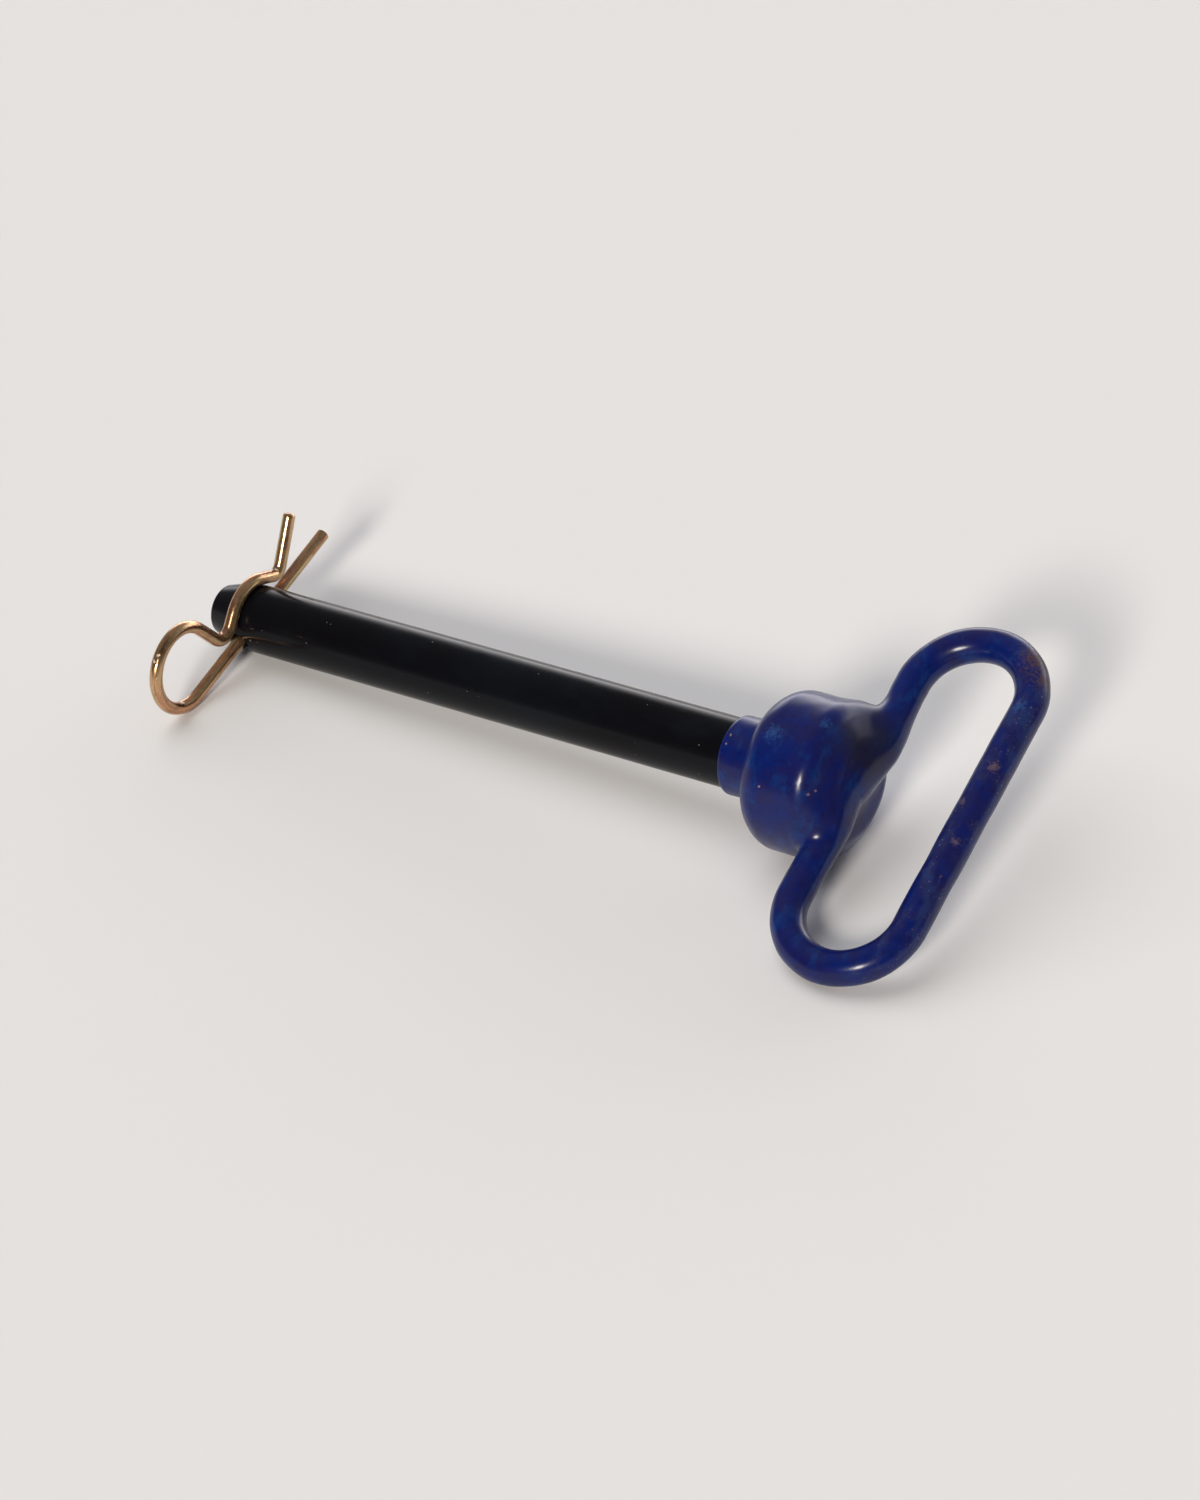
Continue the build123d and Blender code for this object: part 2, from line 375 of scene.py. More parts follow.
def nearest_on_line(points, line, closed):
    """For flat points: the nearest point of the line, and the line's left-hand normal there."""
    starts = line if closed else line[:-1]
    ends = np.roll(line, -1, 0) if closed else line[1:]
    runs = ends - starts
    square = (runs ** 2).sum(1)
    side = np.stack([-runs[:, 1], runs[:, 0]], 1) / np.sqrt(square)[:, None]
    near, normal = np.empty_like(points), np.empty_like(points)
    for first in range(0, len(points), BATCH):
        part = points[first:first + BATCH]
        share = ((part[:, None] - starts) * runs).sum(2) / square
        spot = starts + runs * share.clip(0, 1)[..., None]
        best = ((part[:, None] - spot) ** 2).sum(2).argmin(1)
        rows = np.arange(len(part))
        near[first:first + BATCH] = spot[rows, best]
        normal[first:first + BATCH] = side[best]
    return near, normal


def from_turned(points, outline):
    """Signed distance from a body turned about X, and the way out of it."""
    radius = np.hypot(points[:, 1], points[:, 2]).clip(TINY)
    flat = np.stack([points[:, 0], radius], 1)
    near, normal = nearest_on_line(flat, outline, False)
    gap = flat - near
    away = (gap * normal).sum(1)
    length = np.linalg.norm(gap, axis=1)
    straight_out = gap * np.sign(away)[:, None] / length.clip(TINY)[:, None]
    out = np.where((length > ON_LINE)[:, None], straight_out, normal)
    spokes = points[:, 1:] / radius[:, None]
    return np.sign(away) * length, np.column_stack([out[:, 0], out[:, 1:] * spokes])


def from_rod(points, line, rod_r):
    """Signed distance from a closed round rod in the XY plane, and the way out of it."""
    near, _ = nearest_on_line(points[:, :2], line, True)
    gap = np.column_stack([points[:, :2] - near, points[:, 2]])
    length = np.linalg.norm(gap, axis=1).clip(TINY)
    return length - rod_r, gap / length[:, None]


def from_bar(points, start, end, bar_r):
    """Signed distance from a straight round bar with ball ends, and the way out of it."""
    start, run = np.array(start), np.subtract(end, start)
    share = ((points - start) @ run / (run @ run)).clip(0, 1)
    gap = points - start - share[:, None] * run
    length = np.linalg.norm(gap, axis=1).clip(TINY)
    return length - bar_r, gap / length[:, None]


def melted(first, second, reach, spread):
    """Two distances and ways out as one: where they differ by less than reach, the bodies melt together.

    spread is how the reach itself changes along X, Y and Z.
    """
    (d1, n1), (d2, n2) = first, second
    share = (0.5 + 0.5 * (d2 - d1) / reach).clip(0, 1)
    distance = d2 + (d1 - d2) * share - reach * share * (1 - share)
    way = n2 + (n1 - n2) * share[:, None] - spread * (share * (1 - share))[:, None]
    length = np.linalg.norm(way, axis=1).clip(FAINT)
    return distance / length, way / length[:, None]


def evaluated(piece):
    """The piece with its modifiers applied."""
    graph = bpy.context.evaluated_depsgraph_get()
    mesh = bpy.data.meshes.new_from_object(piece.evaluated_get(graph))
    old = piece.data
    piece.modifiers.clear()
    piece.data = mesh
    bpy.data.meshes.remove(old)
    return piece


def points_of(piece):
    """A piece's vertices in millimetres."""
    points = np.empty(len(piece.data.vertices) * 3)
    piece.data.vertices.foreach_get("co", points)
    return points.reshape(-1, 3) / MM


def set_points(piece, points):
    """Moves a piece's vertices to these places, in millimetres."""
    piece.data.vertices.foreach_set("co", (points * MM).ravel())
    piece.data.update()


def rod_tube(name, line, rod_r, sides):
    """A closed round rod along a flat closed line."""
    _, normals = line_frames(line, True)
    angles = np.linspace(0, 2 * pi, sides, endpoint=False)
    rings = line[:, None] + normals[:, None] * (rod_r * np.cos(angles))[None, :, None]
    heights = np.broadcast_to(rod_r * np.sin(angles), rings.shape[:2])
    points = np.dstack([rings, heights]).reshape(-1, 3)
    return outward(add_mesh(name, points, ring_faces(len(line), sides, True)))


def joined(name, pieces):
    """One object of several closed meshes."""
    with bpy.context.temp_override(active_object=pieces[0], selected_editable_objects=pieces):
        bpy.ops.object.join()
    pieces[0].name = name
    return pieces[0]


def join_reach(points):
    """How far the join spreads: widest on the pin's upper face over the crown, narrow under it."""
    _, y, z = points.T
    over_crown = ramp(z, *JOIN_WIDE_Z) * ramp(y, *JOIN_WIDE_HIGH_Y) * ramp(y, *JOIN_WIDE_LOW_Y)
    high_end = ramp(y, *JOIN_HIGH_END_Y)
    return JOIN_NARROW + (JOIN_WIDE - JOIN_NARROW) * over_crown + JOIN_HIGH_END * high_end


def reach_slope(points):
    """How the join's reach changes along X, Y and Z."""
    ways = np.eye(3) * SLOPE_STEP
    return np.stack([(join_reach(points + w) - join_reach(points - w)) / (2 * SLOPE_STEP) for w in ways], 1)


def ramp(value, start, full):
    """0 up to start and 1 from full on, with soft ends."""
    share = np.clip((value - start) / (full - start), 0, 1)
    return share * share * (3 - 2 * share)


def uneven(points):
    """How far the skin stands out or in, and the slope of that."""
    height = np.zeros(len(points))
    rise = np.zeros_like(points)
    for size, turns in WAVES:
        turns = 2 * pi * np.array(turns)
        phase = points @ turns
        height += size * np.sin(phase)
        rise += size * np.cos(phase)[:, None] * turns
    return height, rise


def handle_coating():
    """The dipped coating: collar, head and loop as one soft skin, solid inside."""
    outline = coating_outline()
    line = handle_line()
    rod_r = ROD_R + ROD_COAT
    (head_step, head_sides), (rod_step, rod_sides) = ROUGH_HEAD, ROUGH_ROD
    rough = joined("handle_coating", [
        turned("coated_head", cut_long(outline, head_step), head_sides),
        rod_tube("coated_rod", spaced_loop(line, rod_step), rod_r, rod_sides)])
    remesh = rough.modifiers.new("remesh", "REMESH")
    remesh.mode = "VOXEL"
    remesh.voxel_size = COAT_VOXEL * MM
    piece = evaluated(rough)
    points = points_of(piece)
    for _ in range(COAT_STEPS):
        head, rod = from_turned(points, outline), from_rod(points, line, rod_r)
        body = melted(head, rod, join_reach(points), reach_slope(points))
        distance, way = melted(body, from_bar(points, *POOL_ENDS, POOL_R), POOL_REACH, 0)
        height, rise = uneven(points)
        points -= way * (distance + SINK - height)[:, None]
    set_points(piece, points)
    across = rise - way * (rise * way).sum(1)[:, None]
    way = way - across
    way /= np.linalg.norm(way, axis=1)[:, None]
    piece.data.shade_smooth()
    piece.data.normals_split_custom_set_from_vertices([tuple(n) for n in way])
    return piece


def spaced_loop(line, step):
    """A closed line cut into equal lengths of about step."""
    return spaced(np.vstack([line, line[:1]]), step)[:-1]


def hole_cutter():
    """What the cross hole takes out: a round bar that widens at both ends for the broken edges."""
    mouth_depth = SHANK_R - sqrt(SHANK_R ** 2 - HOLE_R ** 2) + HOLE_EDGE
    neck = SHANK_R - mouth_depth
    reach = SHANK_R + CUTTER_PAST
    outer_r = HOLE_R + HOLE_EDGE + CUTTER_PAST
    half = [(neck, HOLE_R), (reach, outer_r), (reach, 0)]
    cutter = turned("cross_hole", np.array([(-x, r) for x, r in half[::-1]] + half), CUTTER_SIDES)
    at_hole = Matrix.Translation((HOLE_X * MM, 0, 0)) @ Matrix.Rotation(-radians(CLIP_TURN), 4, "X")
    cutter.data.transform(at_hole @ Matrix.Rotation(pi / 2, 4, "Z"))
    return cutter


def pin_steel():
    """The steel pin: turned body with its cross hole, and the handle's rod inside the coating."""
    body = turned("pin_steel", cut_long(forging_outline(), TURNED_STEP), TURNED_SIDES)
    rod = rod_tube("steel_rod", spaced_loop(handle_line(), ROD_STEP), ROD_R, ROD_SIDES)
    cutter = hole_cutter()
    for tool, operation in ((rod, "UNION"), (cutter, "DIFFERENCE")):
        cut = body.modifiers.new(operation.lower(), "BOOLEAN")
        cut.object = tool
        cut.operation = operation
        cut.solver = "EXACT"
    piece = cleaned(evaluated(body))
    for tool in (rod, cutter):
        bpy.data.objects.remove(tool)
    piece.data.shade_smooth()
    piece.data.set_sharp_from_angle(angle=SHARP_ANGLE)
    return piece


def wire_stations(length):
    """Places along the clip's wire and its radius there: a cut end with a broken edge, and a rounded tail."""
    body = np.linspace(CUT_EDGE, length - TAIL_ROUND, ceil(length / WIRE_STEP))
    turn = TAIL_ROUND_STEPS
    ends = length - TAIL_ROUND * (1 - np.sin(turn)), WIRE_R - TAIL_ROUND * (1 - np.cos(turn))
    return np.r_[0, body, ends[0]], np.r_[WIRE_R - CUT_EDGE, np.full(len(body), WIRE_R), ends[1]]


def clip_wire():
    """The spring clip: round wire along its line, with the marks of its bending."""
    line = spaced(clip_line(), WIRE_STEP / 4)
    reach = np.r_[0, np.cumsum(np.linalg.norm(np.diff(line, axis=0), axis=1))]
    places, radii = wire_stations(reach[-1])
    _, normals = line_frames(line, False)
    line, normals = (np.stack([np.interp(places, reach, c) for c in part.T], 1) for part in (line, normals))
    angles = np.linspace(0, 2 * pi, WIRE_SIDES, endpoint=False)
    depth = np.zeros((len(places), WIRE_SIDES))
    for place, angle, deep, long, wide in NICKS + PRESSED:
        round_it = (angles - radians(angle) + pi) % (2 * pi) - pi
        fade = np.exp(-((places - place) / long) ** 2)
        depth += deep * fade[:, None] * np.exp(-(round_it * WIRE_R / wide) ** 2)
    out = radii[:, None] - depth
    flat = line[:, None] + normals[:, None] * (out * np.cos(angles))[..., None]
    flat = np.dstack([flat, out * np.sin(angles)]).reshape(-1, 3)
    stations = np.repeat(places[:, None], WIRE_SIDES, 1)
    straight = np.dstack([out * np.cos(angles), out * np.sin(angles), stations])
    faces = ring_faces(len(line), WIRE_SIDES, False)
    faces += [tuple(range(WIRE_SIDES)), tuple(range(len(flat) - 1, len(flat) - WIRE_SIDES - 1, -1))]
    turn = radians(CLIP_TURN)
    leg = np.array([0, cos(turn), -sin(turn)])
    off = np.array([0, sin(turn), cos(turn)])
    along = np.cross(leg, off)
    points = np.array([HOLE_X, 0, 0]) + flat[:, :1] * leg + flat[:, 1:2] * off + flat[:, 2:] * along
    piece = outward(add_mesh("clip_wire", points, faces))
    drawn = piece.data.attributes.new("drawn", "FLOAT_VECTOR", "POINT")
    drawn.data.foreach_set("vector", straight.ravel())
    piece.data.set_sharp_from_angle(angle=SHARP_ANGLE)
    return piece


# ---- Materials ----

SPECK_EDGE = 0.4  # share of a speck's size over which it fades
MARK_RAGGED = 4  # how far a mark's edge wanders, in sizes of the mark
MARK_REACH = (3.3, 1.9)  # where a mark starts and where it is full, in its sizes


class Nodes:
    """Shader nodes under construction."""

    def __init__(self, tree):
        self.tree = tree

    def feed(self, socket, value):
        """Links an output to a socket, or sets the socket's own value."""
        if isinstance(value, bpy.types.NodeSocket):
            self.tree.links.new(value, socket)
        else:
            socket.default_value = (*value, 1) if socket.type == "RGBA" and len(value) == 3 else value

    def add(self, kind, inputs, **fields):
        """A new node with these fields set, and these inputs, by name or number, set or linked."""
        node = self.tree.nodes.new(kind)
        for name, value in fields.items():
            setattr(node, name, value)
        for name, value in inputs.items():
            self.feed(node.inputs[name], value)
        return node

    def math(self, operation, *values):
        """A Math node's result."""
        return self.add("ShaderNodeMath", dict(enumerate(values)), operation=operation).outputs[0]

    def vector(self, operation, *values):
        """A Vector Math node."""
        return self.add("ShaderNodeVectorMath", dict(enumerate(values)), operation=operation)

    def between(self, value, low, high, out_low=0.0, out_high=1.0):
        """value turned from the range low to high into out_low to out_high, smoothly and clamped."""
        ends = {"Value": value, "From Min": low, "From Max": high, "To Min": out_low, "To Max": out_high}
        return self.add("ShaderNodeMapRange", ends, interpolation_type="SMOOTHSTEP").outputs["Result"]

    def mix(self, share, first, second):
        """A colour between two."""
        return self.add("ShaderNodeMix", {0: share, 6: first, 7: second}, data_type="RGBA").outputs[2]


class Finish(Nodes):
    """A surface material. Its patterns are measured in millimetres of the pin's axes."""

    def __init__(self, name, placed):
        self.material = bpy.data.materials.new(name)
        self.material.use_nodes = True
        super().__init__(self.material.node_tree)
        place = self.add("ShaderNodeTexCoord", {}).outputs["Object"]
        axes = {"Vector": place, "Location": placed.translation, "Rotation": placed.to_euler(),
                "Scale": (MM, MM, MM)}
        self.where = self.add("ShaderNodeMapping", axes, vector_type="TEXTURE").outputs["Vector"]

    def noise(self, size, detail, roughness, stretch=None, distortion=0):
        """Soft noise from 0 to 1, its lumps about size millimetres across, longer where stretch is small."""
        where = self.vector("MULTIPLY", self.where, stretch).outputs[0] if stretch else self.where
        inputs = {"Vector": where, "Scale": 1 / size, "Detail": detail, "Roughness": roughness,
                  "Distortion": distortion}
        return self.add("ShaderNodeTexNoise", inputs).outputs["Fac"]

    def patterns(self, shapes):
        """A noise by each name."""
        return {name: self.noise(*shape) for name, shape in shapes.items()}

    def layered(self, colour, patterns, layers):
        """The colour with others over it, each where its pattern passes a range, up to its strength."""
        for tint, name, low, high, strength in layers:
            colour = self.mix(self.between(patterns[name], low, high, 0, strength), colour, tint)
        return colour

    def specks(self, spacing, size, share):
        """1 inside small specks, one to a cell of that spacing, in that share of the cells."""
        cells = self.add("ShaderNodeTexVoronoi", {"Vector": self.where, "Scale": 1 / spacing})
        chance = self.add("ShaderNodeSeparateColor", {"Color": cells.outputs["Color"]})
        reach = self.math("MULTIPLY", chance.outputs["Green"], size / spacing)
        past = self.math("SUBTRACT", cells.outputs["Distance"], reach)
        inside = self.between(past, 0.0, -SPECK_EDGE * size / spacing)
        return self.math("MULTIPLY", inside, self.math("LESS_THAN", chance.outputs["Red"], share))

    def speckled(self, kinds):
        """1 inside the specks of two kinds, each a spacing, a size and a share."""
        return self.math("MAXIMUM", *(self.specks(*kind) for kind in kinds))

    def mark(self, centre, size, ragged):
        """1 at a place and fading out, with an edge as ragged as the noise given."""
        away = self.vector("DISTANCE", self.where, centre).outputs["Value"]
        away = self.math("MULTIPLY_ADD", ragged, MARK_RAGGED * size, away)
        return self.between(away, *(reach * size for reach in MARK_REACH))

    def bump(self, height, distance):
        """A normal bent by a height of so many millimetres."""
        return self.add("ShaderNodeBump", {"Height": height, "Distance": distance * MM}).outputs["Normal"]

    def surface(self, **inputs):
        """The finished material, with its surface shader's inputs."""
        shader = self.tree.nodes["Principled BSDF"]
        for name, value in inputs.items():
            self.feed(shader.inputs[name.replace("_", " ")], value)
        return self.material


BLACK = (0.0034, 0.0031, 0.0042)
BLUE_BLACK = (0.0048, 0.0064, 0.0095)
DUST = (0.24, 0.23, 0.22)
BLACK_PATTERNS = {
    # size, detail, roughness, stretch, distortion
    "drawn": (0.35, 4, 0.6, (0.03, 1, 1)),
    "cloud": (14, 4, 0.55, (0.5, 1, 1)),
    "haze": (5, 5, 0.65, (0.6, 1, 1), 0.6),
}
BLUER_ALONG = (-150, 0, 0.3, 1)  # from this X to that, the share of blue goes from here to there
BLUER_CLOUD = (0.33, 0.66)
DUST_SPECKS = [(2.2, 0.22, 0.4), (4.5, 0.42, 0.6)]
DUST_COVER = 0.7
BLACK_ROUGH = (0.35, 0.75, 0.16, 0.25)  # from this haze to that, the roughness goes from here to there
DUST_ROUGH = 0.4
DRAWN_HEIGHT = 0.25
DUST_HEIGHT = 1.2
BLACK_BUMP = 0.006
BLACK_IOR = 1.21


def black_finish(placed):
    """Glossy black over drawn steel: faint lengthwise lines, cloudy haze and small pale specks."""
    f = Finish("black_finish", placed)
    made = f.patterns(BLACK_PATTERNS)
    along = f.add("ShaderNodeSeparateXYZ", {"Vector": f.where}).outputs["X"]
    bluish = f.math("MULTIPLY", f.between(along, *BLUER_ALONG), f.between(made["cloud"], *BLUER_CLOUD))
    dust = f.speckled(DUST_SPECKS)
    colour = f.mix(f.math("MULTIPLY", dust, DUST_COVER), f.mix(bluish, BLACK, BLUE_BLACK), DUST)
    rough = f.math("MULTIPLY_ADD", dust, DUST_ROUGH, f.between(made["haze"], *BLACK_ROUGH))
    height = f.math("MULTIPLY_ADD", dust, DUST_HEIGHT, f.math("MULTIPLY", made["drawn"], DRAWN_HEIGHT))
    return f.surface(Base_Color=colour, Roughness=rough, IOR=BLACK_IOR, Normal=f.bump(height, BLACK_BUMP))


NAVY = (0.0018, 0.0095, 0.108)
PURPLE = (0.0075, 0.0088, 0.078)
SEA_BLUE = (0.0035, 0.0260, 0.140)
DEEP = (0.0020, 0.0050, 0.050)
SMUDGE = (0.022, 0.075, 0.24)
SCUFF = (0.20, 0.13, 0.12)
SCUFF_DUST = (0.040, 0.036, 0.060)
BROWN = (0.090, 0.048, 0.030)
PALE_SPECK = (0.42, 0.25, 0.22)
# painted shade: a dark patch on the crown beside the high leg, standing in for the shade that falls there
CROWN_PAINTED_SHADE = (0.010, 0.009, 0.014)
CROWN_SHADE_PLACE = (37.0, 8.5, 7.5)
CROWN_SHADE_REACH = (14, 4, 0, 0.7)  # from this far to that near, the painted shade's strength goes from here to there
COATING_PATTERNS = {
    # size, detail, roughness, stretch, distortion
    "mottle": (8, 4, 0.55, None, 0.4),
    "patches": (5, 4, 0.6, (1, 0.6, 1), 0.3),
    "cloud": (1.7, 4, 0.65),
    "ragged": (0.8, 4, 0.75),
    "sheen": (4, 4, 0.6),
    "ripple": (2.5, 3, 0.5),
}
COATING_LAYERS = [
    # colour, pattern, where it starts and where it is full, strength
    (PURPLE, "mottle", 0.40, 0.62, 1),
    (SEA_BLUE, "patches", 0.48, 0.68, 0.8),
    (DEEP, "cloud", 0.50, 0.70, 0.5),
]
COATING_SPECKS = [(3.7, 0.14, 0.2), (8.3, 0.26, 0.3)]
SPECK_COVER = 0.5
GRIP_X = (60, 66)  # the grip's wear starts at the first and is full at the second
GRIP_PATCHES = (0.42, 0.62)
GRIP_DUST_COVER = 0.25
GRIT_SPECKS = [(0.8, 0.3, 0.5), (1.9, 0.5, 0.4)]
GRIT_COVER = 0.55
COATING_ROUGH = (0.3, 0.7, 0.36, 0.44)  # from this sheen to that, the roughness goes from here to there
WORN_ROUGH = 0.2
SPECK_HEIGHT = 0.5
COATING_BUMP = 0.02
COATING_IOR = 1.12
GLOSS = 0.6
WORN_GLOSS = -0.5
GLOSS_ROUGH = 0.21
GLOSS_IOR = 1.45
COATING_MARKS = [
    # colour, strength, size and place, in millimetres from the coating's mouth
    (SMUDGE, 0.6, 2.6, (19.5, -2.1, 21.2)),
    (SMUDGE, 0.5, 1.8, (31.0, 5.0, 20.4)),
    (SMUDGE, 0.6, 2.2, (69.2, 32.6, 4.4)),
    (BROWN, 0.85, 5.5, (67.0, 48.5, 2.6)),
    (BROWN, 0.7, 3.2, (71.0, 42.5, 2.8)),
    (SCUFF, 0.45, 1.6, (71.0, 14.1, 4.4)),
    (SCUFF, 0.4, 1.1, (67.6, 2.4, 4.3)),
    (SCUFF, 0.4, 1.2, (71.6, -9.0, 4.1)),
    (PALE_SPECK, 0.8, 0.35, (2.1, -0.6, 10.8)),
    (PALE_SPECK, 0.7, 0.30, (1.9, -3.2, 10.3)),
    (PALE_SPECK, 0.9, 0.35, (20.1, -14.9, 15.3)),
    (PALE_SPECK, 0.6, 0.40, (33.4, -12.8, 14.4)),
    (PALE_SPECK, 0.6, 0.35, (34.6, -10.9, 13.9)),
]


def blue_coating(placed):
    """Navy dipped plastic: mottled purple and blue, with painted shade darkening the crown beside the high
    leg, and a worn grip.
    """
    f = Finish("blue_coating", placed)
    made = f.patterns(COATING_PATTERNS)
    colour = f.layered(NAVY, made, COATING_LAYERS)
    # painted shade darkens the crown beside the high leg
    crown_shade_near = f.vector("DISTANCE", f.where, CROWN_SHADE_PLACE).outputs["Value"]
    colour = f.mix(f.between(crown_shade_near, *CROWN_SHADE_REACH), colour, CROWN_PAINTED_SHADE)
    specks = f.speckled(COATING_SPECKS)
    colour = f.mix(f.math("MULTIPLY", specks, SPECK_COVER), colour, PALE_SPECK)
    x = f.add("ShaderNodeSeparateXYZ", {"Vector": f.where}).outputs["X"]
    gripped = f.math("MULTIPLY", f.between(x, *GRIP_X), f.between(made["patches"], *GRIP_PATCHES))
    grit = f.math("MULTIPLY", f.speckled(GRIT_SPECKS), gripped)
    colour = f.mix(f.math("MULTIPLY", gripped, GRIP_DUST_COVER), colour, SCUFF_DUST)
    colour = f.mix(f.math("MULTIPLY", grit, GRIT_COVER), colour, SCUFF)
    worn = f.math("MAXIMUM", specks, grit)
    for tint, strength, size, place in COATING_MARKS:
        mark = f.math("MULTIPLY", f.mark(place, size, made["ragged"]), strength)
        colour = f.mix(mark, colour, tint)
        worn = f.math("MAXIMUM", worn, mark)
    rough = f.math("MULTIPLY_ADD", worn, WORN_ROUGH, f.between(made["sheen"], *COATING_ROUGH))
    height = f.math("MULTIPLY_ADD", specks, SPECK_HEIGHT, made["ripple"])
    gloss = f.math("MULTIPLY_ADD", worn, WORN_GLOSS, GLOSS)
    return f.surface(Base_Color=colour, Roughness=rough, IOR=COATING_IOR, Coat_Weight=gloss,
                     Coat_Roughness=GLOSS_ROUGH, Coat_IOR=GLOSS_IOR, Normal=f.bump(height, COATING_BUMP))


COPPER = (0.64, 0.33, 0.18)
GREEN_GOLD = (0.54, 0.40, 0.19)
BRONZE = (0.25, 0.13, 0.062)
DARK_RED = (0.20, 0.045, 0.030)
PALE_ZINC = (0.88, 0.80, 0.66)
ZINC_PATTERNS = {
    # size, detail, roughness, stretch, distortion
    "streaks": (1.5, 2, 0.5, (1, 1, 0.05), 0.4),
    "lines": (0.28, 3, 0.6, (1, 1, 0.04)),
    "grains": (0.45, 3, 0.6),
    "stain": (2.6, 4, 0.6, (1, 1, 0.3), 0.5),
    "ragged": (0.3, 3, 0.6),
    "sheen": (1.6, 3, 0.5),
}
ZINC_LAYERS = [
    # colour, pattern, where it starts and where it is full, strength
    (GREEN_GOLD, "streaks", 0.42, 0.66, 1),
    (BRONZE, "stain", 0.50, 0.68, 0.8),
    (DARK_RED, "lines", 0.52, 0.64, 0.7),
    (PALE_ZINC, "grains", 0.56, 0.70, 0.6),
]
DENT_MARK = 0.8  # size of a dent's mark, in its length or width
ZINC_ROUGH = (0.3, 0.7, 0.17, 0.27)  # from this sheen to that, the roughness goes from here to there
GRAIN_HEIGHT = 1.2
ZINC_BUMP = 0.005
ZINC_METAL = 0.87
# less metal on the marks, so that the nicks' pale tint, partly a painted glint, shows under any light
BARE_AND_GLINT_METAL = -0.7


def golden_zinc(placed):
    """Yellow-passivated zinc on drawn wire: lengthwise copper and green-gold streaks, bronze stains."""
    f = Finish("golden_zinc", placed)
    f.where = f.add("ShaderNodeAttribute", {}, attribute_name="drawn").outputs["Vector"]
    made = f.patterns(ZINC_PATTERNS)
    colour = f.layered(COPPER, made, ZINC_LAYERS)
    bare_and_glint = 0.0
    # The nicks are painted pale: partly the zinc that the tools scraped bare, partly a painted glint where
    # their sharp edges catch the light. The pressed flat is painted bronze.
    for tint, dents in ((PALE_ZINC, NICKS), (BRONZE, PRESSED)):
        for place, angle, _, long, wide in dents:
            centre = (WIRE_R * cos(radians(angle)), WIRE_R * sin(radians(angle)), place)
            mark = f.mark(centre, max(long, wide) * DENT_MARK, made["ragged"])
            colour = f.mix(mark, colour, tint)
            bare_and_glint = f.math("MAXIMUM", bare_and_glint, mark)
    rough = f.between(made["sheen"], *ZINC_ROUGH)
    height = f.math("MULTIPLY_ADD", made["grains"], GRAIN_HEIGHT, made["lines"])
    metal = f.math("MULTIPLY_ADD", bare_and_glint, BARE_AND_GLINT_METAL, ZINC_METAL)
    return f.surface(Base_Color=colour, Roughness=rough, Metallic=metal, Normal=f.bump(height, ZINC_BUMP))


# ---- Stage ----

CAMERA_TARGET = (0.01875, -0.01941, 0.0237)
CAMERA_AZIMUTH = -52.66
CAMERA_ELEVATION = 37.12
CAMERA_ROLL = -5.43
CAMERA_DISTANCE = 1.1095
CAMERA_LENS = 102.36
CAMERA_SENSOR = 36
CAMERA_SEES = (0.01, 100)

FLOOR_REACH = 30  # metres
FLOOR_COLOUR = (0.80, 0.79, 0.79)

PANEL_AZIMUTH = 100  # the bright panel stands behind the object, seen from the camera
PANEL_EDGES = (55, 33)  # degrees to each side, where it starts and where it is full
PANEL_TOP = (34, 4)  # and degrees above the floor
PANEL_LIGHT = (4.3, 4.15, 4.2)
FRONT_LIGHT = (0.04, 0.04, 0.045)
BACK_LIGHT = (0.22, 0.225, 0.24)
BACK_STARTS = (-0.45, 0.65)  # how far a direction points at the panel where it is all front, and all back
HORIZON_LIGHT = (0.24, 0.235, 0.235)
HORIZON_TOP = 16  # degrees above the floor
KEY_AZIMUTH = -75
KEY_ELEVATION = 28
KEY_SIZE = 13
KEY_LIGHT = 2.5
KEY_WARMTH = (1.0, 0.94, 0.85)
FILL_AZIMUTH = 175
FILL_ELEVATION = 58
FILL_SIZE = 60
FILL_LIGHT = 1.4
WHITE = (1, 1, 1)


def direction(azimuth, elevation):
    """Unit vector towards an azimuth and elevation in degrees."""
    azimuth, elevation = radians(azimuth), radians(elevation)
    return Vector((cos(elevation) * cos(azimuth), cos(elevation) * sin(azimuth), sin(elevation)))


def add_camera():
    """The camera, above and in front of the object, nearer to its handle, and rolled a little."""
    back = direction(CAMERA_AZIMUTH, CAMERA_ELEVATION)
    right = Vector((-sin(radians(CAMERA_AZIMUTH)), cos(radians(CAMERA_AZIMUTH)), 0))
    level = Matrix((right, back.cross(right), back)).transposed()
    axes = level @ Matrix.Rotation(radians(CAMERA_ROLL), 3, "Z")
    camera = bpy.data.objects.new("camera", bpy.data.cameras.new("camera"))
    camera.data.lens = CAMERA_LENS
    camera.data.sensor_width = CAMERA_SENSOR
    camera.data.clip_start, camera.data.clip_end = CAMERA_SEES
    camera.matrix_world = Matrix.Translation(Vector(CAMERA_TARGET) + back * CAMERA_DISTANCE) @ axes.to_4x4()
    bpy.context.scene.collection.objects.link(camera)
    bpy.context.scene.camera = camera


def add_floor():
    """A plain pale floor."""
    corners = [(x * FLOOR_REACH, y * FLOOR_REACH, 0) for x, y in ((-1, -1), (1, -1), (1, 1), (-1, 1))]
    mesh = bpy.data.meshes.new("floor")
    mesh.from_pydata(corners, [], [(0, 1, 2, 3)])
    floor = bpy.data.objects.new("floor", mesh)
    bpy.context.scene.collection.objects.link(floor)
    material = bpy.data.materials.new("floor")
    material.use_nodes = True
    shader = material.node_tree.nodes["Principled BSDF"]
    shader.inputs["Base Color"].default_value = (*FLOOR_COLOUR, 1)
    shader.inputs["Roughness"].default_value = 1
    shader.inputs["Specular IOR Level"].default_value = 0
    floor.data.materials.append(material)


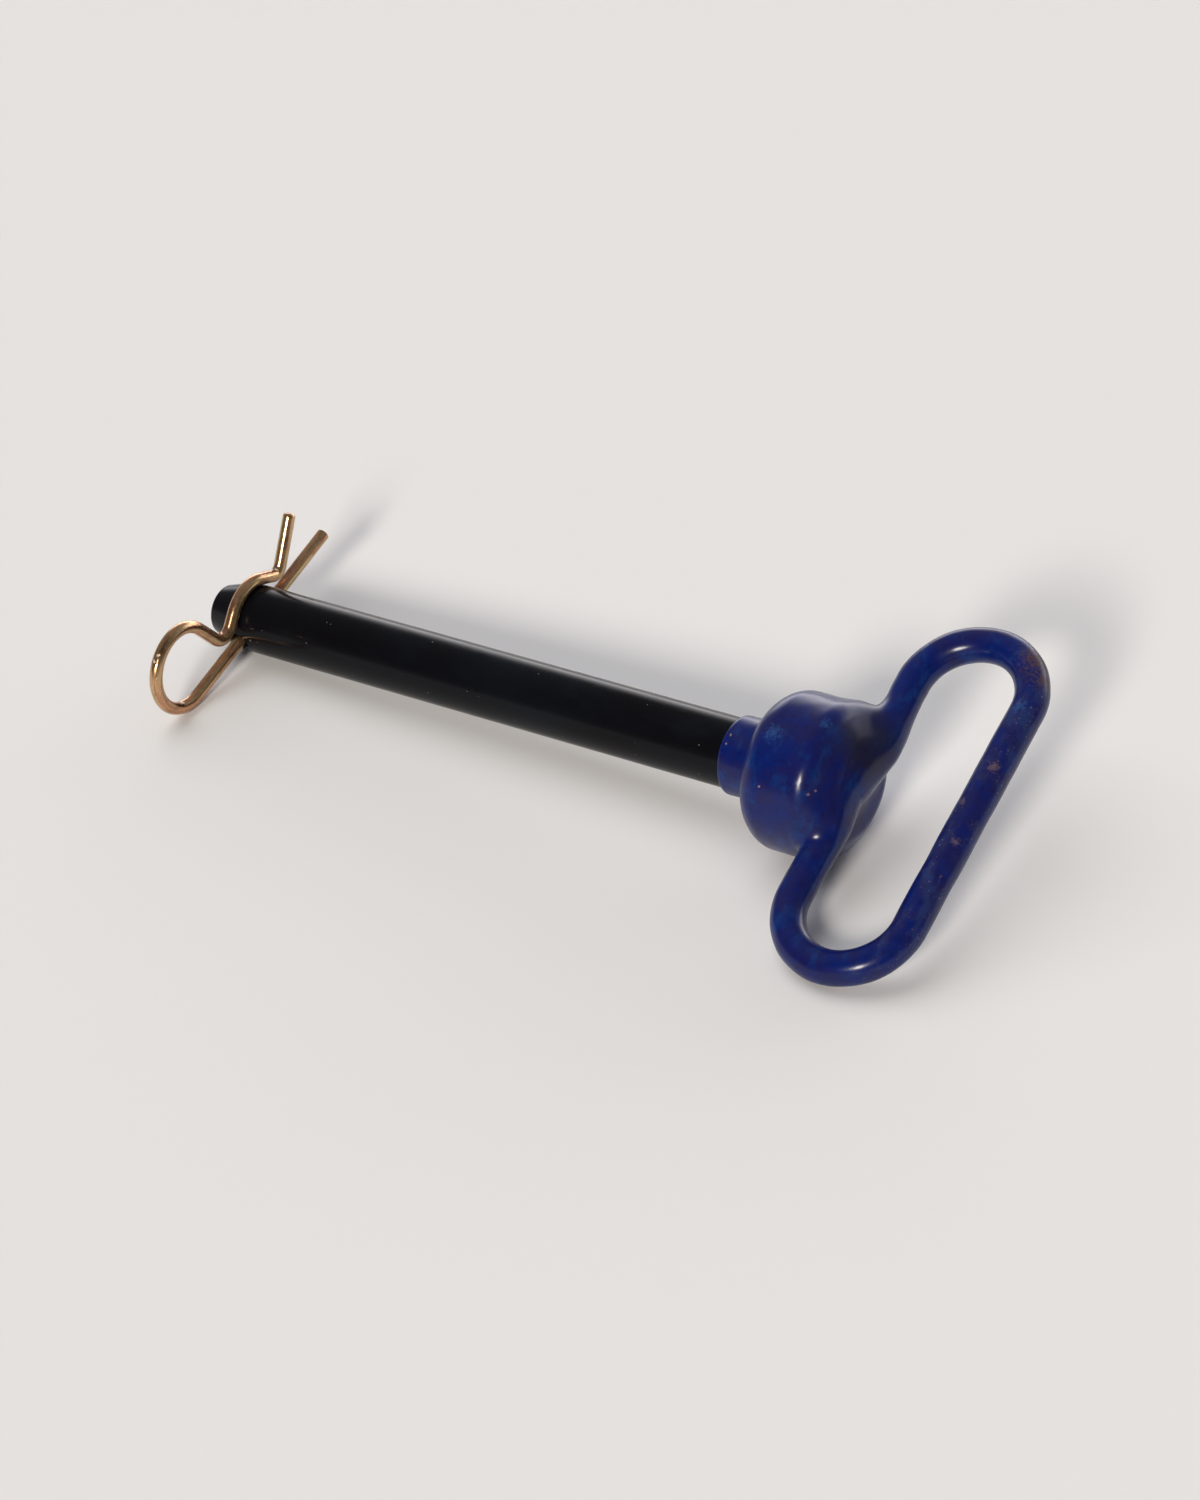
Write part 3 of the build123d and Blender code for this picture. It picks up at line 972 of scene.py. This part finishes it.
def add_room():
    """A dim room, darkest in front of the object, with a broad bright panel low behind it."""
    world = bpy.data.worlds.new("studio")
    bpy.context.scene.world = world
    world.use_nodes = True
    n = Nodes(world.node_tree)
    look = n.add("ShaderNodeTexCoord", {}).outputs["Generated"]
    height = n.add("ShaderNodeSeparateXYZ", {"Vector": look}).outputs["Z"]
    behind = n.vector("DOT_PRODUCT", look, direction(PANEL_AZIMUTH, 0)).outputs["Value"]
    level = n.vector("NORMALIZE", n.vector("MULTIPLY", look, (1, 1, 0)).outputs[0]).outputs[0]
    facing = n.vector("DOT_PRODUCT", level, direction(PANEL_AZIMUTH, 0)).outputs["Value"]
    across = n.between(facing, *(cos(radians(edge)) for edge in PANEL_EDGES))
    below = n.between(height, *(sin(radians(edge)) for edge in PANEL_TOP))
    room = n.mix(n.between(behind, *BACK_STARTS), FRONT_LIGHT, BACK_LIGHT)
    room = n.mix(n.between(height, 0, sin(radians(HORIZON_TOP))), HORIZON_LIGHT, room)
    light = n.mix(n.math("MULTIPLY", across, below), room, PANEL_LIGHT)
    n.feed(n.tree.nodes["Background"].inputs["Color"], light)


def add_lamp(name, azimuth, elevation, size, strength, colour):
    """A far soft lamp, so many degrees across."""
    lamp = bpy.data.objects.new(name, bpy.data.lights.new(name, "SUN"))
    lamp.data.energy = strength
    lamp.data.color = colour
    lamp.data.angle = radians(size)
    lamp.rotation_euler = direction(azimuth, elevation).to_track_quat("Z", "Y").to_euler()
    bpy.context.scene.collection.objects.link(lamp)
    return lamp


def add_lamps():
    """A warm low key left of the camera, and a broad high fill from the tip's side, unseen in reflections."""
    add_lamp("key", KEY_AZIMUTH, KEY_ELEVATION, KEY_SIZE, KEY_LIGHT, KEY_WARMTH)
    fill = add_lamp("fill", FILL_AZIMUTH, FILL_ELEVATION, FILL_SIZE, FILL_LIGHT, WHITE)
    fill.visible_glossy = False


PIECES = [
    # maker, CAD node that it replaces, body, slot, finish
    (pin_steel, "pin_forging", "pin", "black_steel", black_finish),
    (handle_coating, "dipped_coating", "pin", "blue_coating", blue_coating),
    (clip_wire, "hairpin_clip", "clip", "yellow_zinc", golden_zinc),
]


def build():
    """Everything that is seen."""
    placed = pin_axes()
    for make, node, body, slot, finish in PIECES:
        piece = make()
        piece.data.transform(placed)
        piece.data.materials.clear()
        piece.data.materials.append(finish(placed))
        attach(piece, body)
        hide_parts(node)
    add_floor()
    add_room()
    add_lamps()
    add_camera()


bpy.context.scene.view_settings.view_transform = "Standard"
build()
